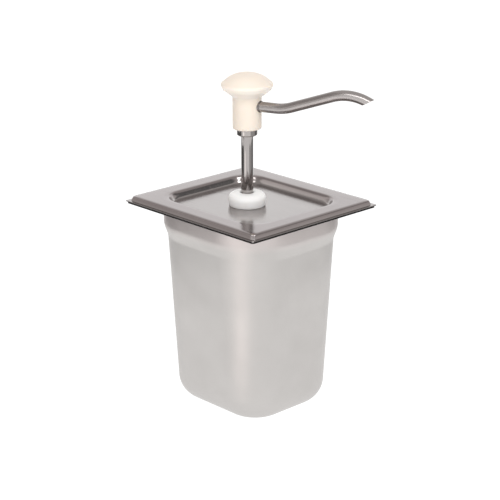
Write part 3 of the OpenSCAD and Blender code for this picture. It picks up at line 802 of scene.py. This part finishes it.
def swept_tube(name, line, r_out, r_in, sides=40):
    """A tube with a wall along a line in the upright plane, closed at both ends by rings."""
    verts, uvs, rings = [], [], []
    run = 0.0
    for pass_r, order in ((r_out, line), (r_in, line[::-1])):
        for i, (x, z, a) in enumerate(order):
            if i:
                run += math.hypot(x - order[i - 1][0], z - order[i - 1][1])
            ring = []
            for s in range(sides):
                b = 2 * math.pi * s / sides
                off = pass_r * math.sin(b)
                ring.append(len(verts))
                verts.append(Vector((x - off * math.sin(a), pass_r * math.cos(b), z + off * math.cos(a))))
                uvs.append((run, s / sides))
            rings.append(ring)
    faces = []
    for k in range(len(rings)):
        a, b = rings[k], rings[(k + 1) % len(rings)]
        faces += [(a[s], a[(s + 1) % sides], b[(s + 1) % sides], b[s]) for s in range(sides)]
    return new_object(name, verts, faces, uvs=uvs)


def cut_mouth(obj, mouth):
    """Cuts a tube off along the sloping plane through its mouth, closes the wall and softens the edges."""
    bm = bmesh.new()
    bm.from_mesh(obj.data)
    facing = Vector((math.cos(MOUTH_SLOPE), 0, -math.sin(MOUTH_SLOPE)))
    everything = bm.verts[:] + bm.edges[:] + bm.faces[:]
    cut = bmesh.ops.bisect_plane(bm, geom=everything, plane_co=mouth, plane_no=facing, clear_outer=True)
    edges = [e for e in cut["geom_cut"] if isinstance(e, bmesh.types.BMEdge)]
    bmesh.ops.bridge_loops(bm, edges=edges)
    bmesh.ops.bevel(bm, geom=edges, offset=0.18 * MM, segments=2, profile=0.5, affect="EDGES")
    bmesh.ops.recalc_face_normals(bm, faces=bm.faces)
    bm.to_mesh(obj.data)
    bm.free()
    obj.data.polygons.foreach_set("use_smooth", [True] * len(obj.data.polygons))
    obj.data.set_sharp_from_angle(angle=math.radians(SHARP_BENT))


line, mouth = spout_line()
spout = swept_tube("spout_pipe", line, SPOUT_R, SPOUT_R - SPOUT_WALL)
cut_mouth(spout, mouth)
spout.data.transform(spout_place)
finish_piece(spout, "spout", "spout_steel")

FERRULE_R, FERRULE_IN, FERRULE_OUT = SPOUT_R + 0.6 * MM, HEAD_R - 2 * MM, HEAD_R + 1 * MM
ferrule = turned(
    "spout_ferrule_ring",
    fillet([
        (SPOUT_R + RING_GAP, FERRULE_IN, 0.05 * MM), (FERRULE_R, FERRULE_IN, 0.1 * MM),
        (FERRULE_R, FERRULE_OUT, 0.35 * MM), (SPOUT_R + RING_GAP, FERRULE_OUT, 0.12 * MM),
    ], 5),
    sides=64,
    axis=spout_place @ Matrix.Rotation(math.radians(90), 4, "Y"),
)
finish_piece(ferrule, "spout_ferrule", "ferrule_steel")

# ---------------------------------------------------------------- return spring

SPRING_LOW, SPRING_HIGH = BOX["return_spring"][0].z, BOX["return_spring"][1].z
WIRE_R, COIL_R, TURNS = 0.7 * MM, 11.5 * MM, 9
# Pitch of the closed end turns
CLOSED_PITCH = 2 * WIRE_R + 0.1 * MM
TURN_STEPS, WIRE_SIDES = 40, 12


def spring_height(turn):
    """Height of the wire's centre after a number of turns: closed at both ends, evenly open between them."""
    low, high = SPRING_LOW + WIRE_R, SPRING_HIGH - WIRE_R
    if turn < 1:
        return low + CLOSED_PITCH * turn
    if turn > TURNS - 1:
        return high - CLOSED_PITCH * (TURNS - turn)
    return blend(low + CLOSED_PITCH, high - CLOSED_PITCH, (turn - 1) / (TURNS - 2))


def coil(name):
    """The spring's wire, wound about the pump's axis and closed at both ends by flat faces."""
    verts, faces = [], []
    n = WIRE_SIDES
    last = TURNS * TURN_STEPS
    for k in range(last + 1):
        a, z = 2 * math.pi * k / TURN_STEPS, spring_height(k / TURN_STEPS)
        for s in range(n):
            b = 2 * math.pi * s / n
            r = COIL_R + WIRE_R * math.cos(b)
            lift = WIRE_R * math.sin(b)
            verts.append(Vector((PUMP_X + r * math.cos(a), PUMP_Y + r * math.sin(a), z + lift)))
    for k in range(last):
        for s in range(n):
            i, j = k * n + s, k * n + (s + 1) % n
            faces.append((i, i + n, j + n, j))
    faces += [tuple(range(n)), tuple(range(last * n + n - 1, last * n - 1, -1))]
    return new_object(name, verts, faces, sharp=60)


spring = coil("return_spring_wire")
finish_piece(spring, "return_spring")
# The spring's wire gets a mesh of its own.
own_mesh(spring)

# ---------------------------------------------------------------- floor, cards and light

WHITE = (1, 1, 1)
WARM = (1.0, 0.95, 0.93)
ROSE = (1.0, 0.94, 0.92)


def plain_material(name, grey, glow, shine):
    """A dull grey that also glows by itself, in the colour of its shine."""
    mat = bpy.data.materials.new(name)
    mat.use_nodes = True
    shader = mat.node_tree.nodes["Principled BSDF"]
    shader.inputs["Base Color"].default_value = (grey, grey, grey, 1)
    shader.inputs["Roughness"].default_value = 1.0
    shader.inputs["Specular IOR Level"].default_value = 0.0
    shader.inputs["Emission Color"].default_value = (*shine, 1)
    shader.inputs["Emission Strength"].default_value = glow
    return mat


def sheet_of(name, corners, mat):
    """One flat face of the stage round the object."""
    mesh = bpy.data.meshes.new(name)
    mesh.from_pydata([tuple(c) for c in corners], [], [tuple(range(len(corners)))])
    obj = bpy.data.objects.new(name, mesh)
    bpy.context.scene.collection.objects.link(obj)
    mesh.materials.append(mat)
    return obj


# Half the width of the floor, its grey and its glow, which makes it a plain white
FLOOR, FLOOR_GREY, FLOOR_GLOW = 30.0, 0.1, 1.08
sheet_of(
    "floor",
    [(-FLOOR, -FLOOR, 0), (FLOOR, -FLOOR, 0), (FLOOR, FLOOR, 0), (-FLOOR, FLOOR, 0)],
    plain_material("floor_white", FLOOR_GREY, FLOOR_GLOW, WHITE),
)
# Height of the patches above the floor
PATCH_Z = 1 * MM


def around(azimuth, distance, height=0.0):
    """A point at an azimuth in degrees round the object: 0 is the camera's side, 90 the picture's right."""
    a = math.radians(azimuth)
    flat = front_way * (distance * math.cos(a)) + flat_right * (distance * math.sin(a))
    return flat + Vector((0, 0, height))


def hidden_sheet(name, corners, glow, shine):
    """A black sheet with an even glow, which the camera doesn't see but the metal does."""
    obj = sheet_of(name, corners, plain_material(name, 0.0, glow, shine))
    obj.visible_camera = False


def card(name, start, end, distance, low, high, glow, shine=WHITE):
    """An upright card between two azimuths, at a distance, from one height to another."""
    a, b = around(start, distance), around(end, distance)
    lift_low, lift_high = Vector((0, 0, low)), Vector((0, 0, high))
    hidden_sheet(name, [a + lift_low, b + lift_low, b + lift_high, a + lift_high], glow, shine)


def floor_patch(name, start, end, near, far, glow, shine=WHITE):
    """A brighter piece of floor between two azimuths, from near to far."""
    places = [(start, near), (end, near), (end, far), (start, far)]
    hidden_sheet(name, [around(a, d, PATCH_Z) for a, d in places], glow, shine)


card("card_left_low", -64, -138, 0.47, 0.06, 0.19, 0.15)
card("card_left_high", -50, -135, 0.9, 0.17, 0.44, 0.6, ROSE)
card("card_left_bright", -50, -135, 0.9, 0.44, 0.56, 0.95, WARM)
card("card_left_top", -50, -135, 0.9, 0.56, 1.3, 0.45, ROSE)
card("card_right_low", 38, 92, 0.5, 0.05, 0.19, 0.56)
card("card_right_edge", 92, 138, 0.5, 0.05, 0.19, 0.2)
card("card_right_high", 50, 130, 0.9, 0.2, 0.46, 0.7, WARM)
card("card_right_dark", 50, 130, 0.9, 0.46, 0.62, 0.16)
card("card_front", -40, 22, 1.9, 0.5, 1.0, 1.5)
card("card_right_top", 50, 130, 0.9, 0.62, 1.3, 0.55, WARM)
card("card_streak", -32, -44, 0.75, 0.002, 0.12, 2.2, (1.0, 0.97, 0.95))
floor_patch("patch_left", -60, -122, 0.3, 0.37, 1.4)
floor_patch("patch_right", 50, 118, 0.28, 0.4, 1.35)
floor_patch("patch_streak", -14, -40, 0.14, 0.5, 1.65, (1.0, 0.95, 0.94))

# Point that the lights face
LIT = Vector((0, 0, 0.18))


def soft_box(name, azimuth, elevation, distance, size, power):
    """A soft rectangular light that faces the object; its size is (width, height) and its power in watts."""
    data = bpy.data.lights.new(name, "AREA")
    data.shape = "RECTANGLE"
    data.size, data.size_y = size
    data.energy = power
    obj = bpy.data.objects.new(name, data)
    bpy.context.scene.collection.objects.link(obj)
    e = math.radians(elevation)
    spot = LIT + around(azimuth, distance * math.cos(e), distance * math.sin(e))
    obj.location = spot
    obj.rotation_mode = "QUATERNION"
    obj.rotation_quaternion = (spot - LIT).to_track_quat("Z", "Y")


soft_box("key", 0, 54, 1.1, (1.7, 0.24), 4.6)
soft_box("side_key", 52, 42, 1.1, (0.25, 0.25), 1.2)

# The surroundings: white below, and a warm grey above, between these heights of the view direction
SKY_LOW, SKY_HIGH, SKY_GREY, SKY_STRENGTH = 0.36, 0.5, (0.62, 0.6, 0.59), 1.15
world = bpy.data.worlds.new("studio")
bpy.context.scene.world = world
world.use_nodes = True
tree = world.node_tree
sky = tree.nodes["Background"]
direction = tree.nodes.new("ShaderNodeTexCoord")
split = tree.nodes.new("ShaderNodeSeparateXYZ")
ramp = tree.nodes.new("ShaderNodeValToRGB")
tree.links.new(direction.outputs["Generated"], split.inputs["Vector"])
tree.links.new(split.outputs["Z"], ramp.inputs["Fac"])
tree.links.new(ramp.outputs["Color"], sky.inputs["Color"])
for element, position, colour in zip(ramp.color_ramp.elements, (SKY_LOW, SKY_HIGH), (WHITE, SKY_GREY)):
    element.position = position
    element.color = (*colour, 1)
sky.inputs["Strength"].default_value = SKY_STRENGTH
bpy.context.scene.view_settings.view_transform = "Standard"
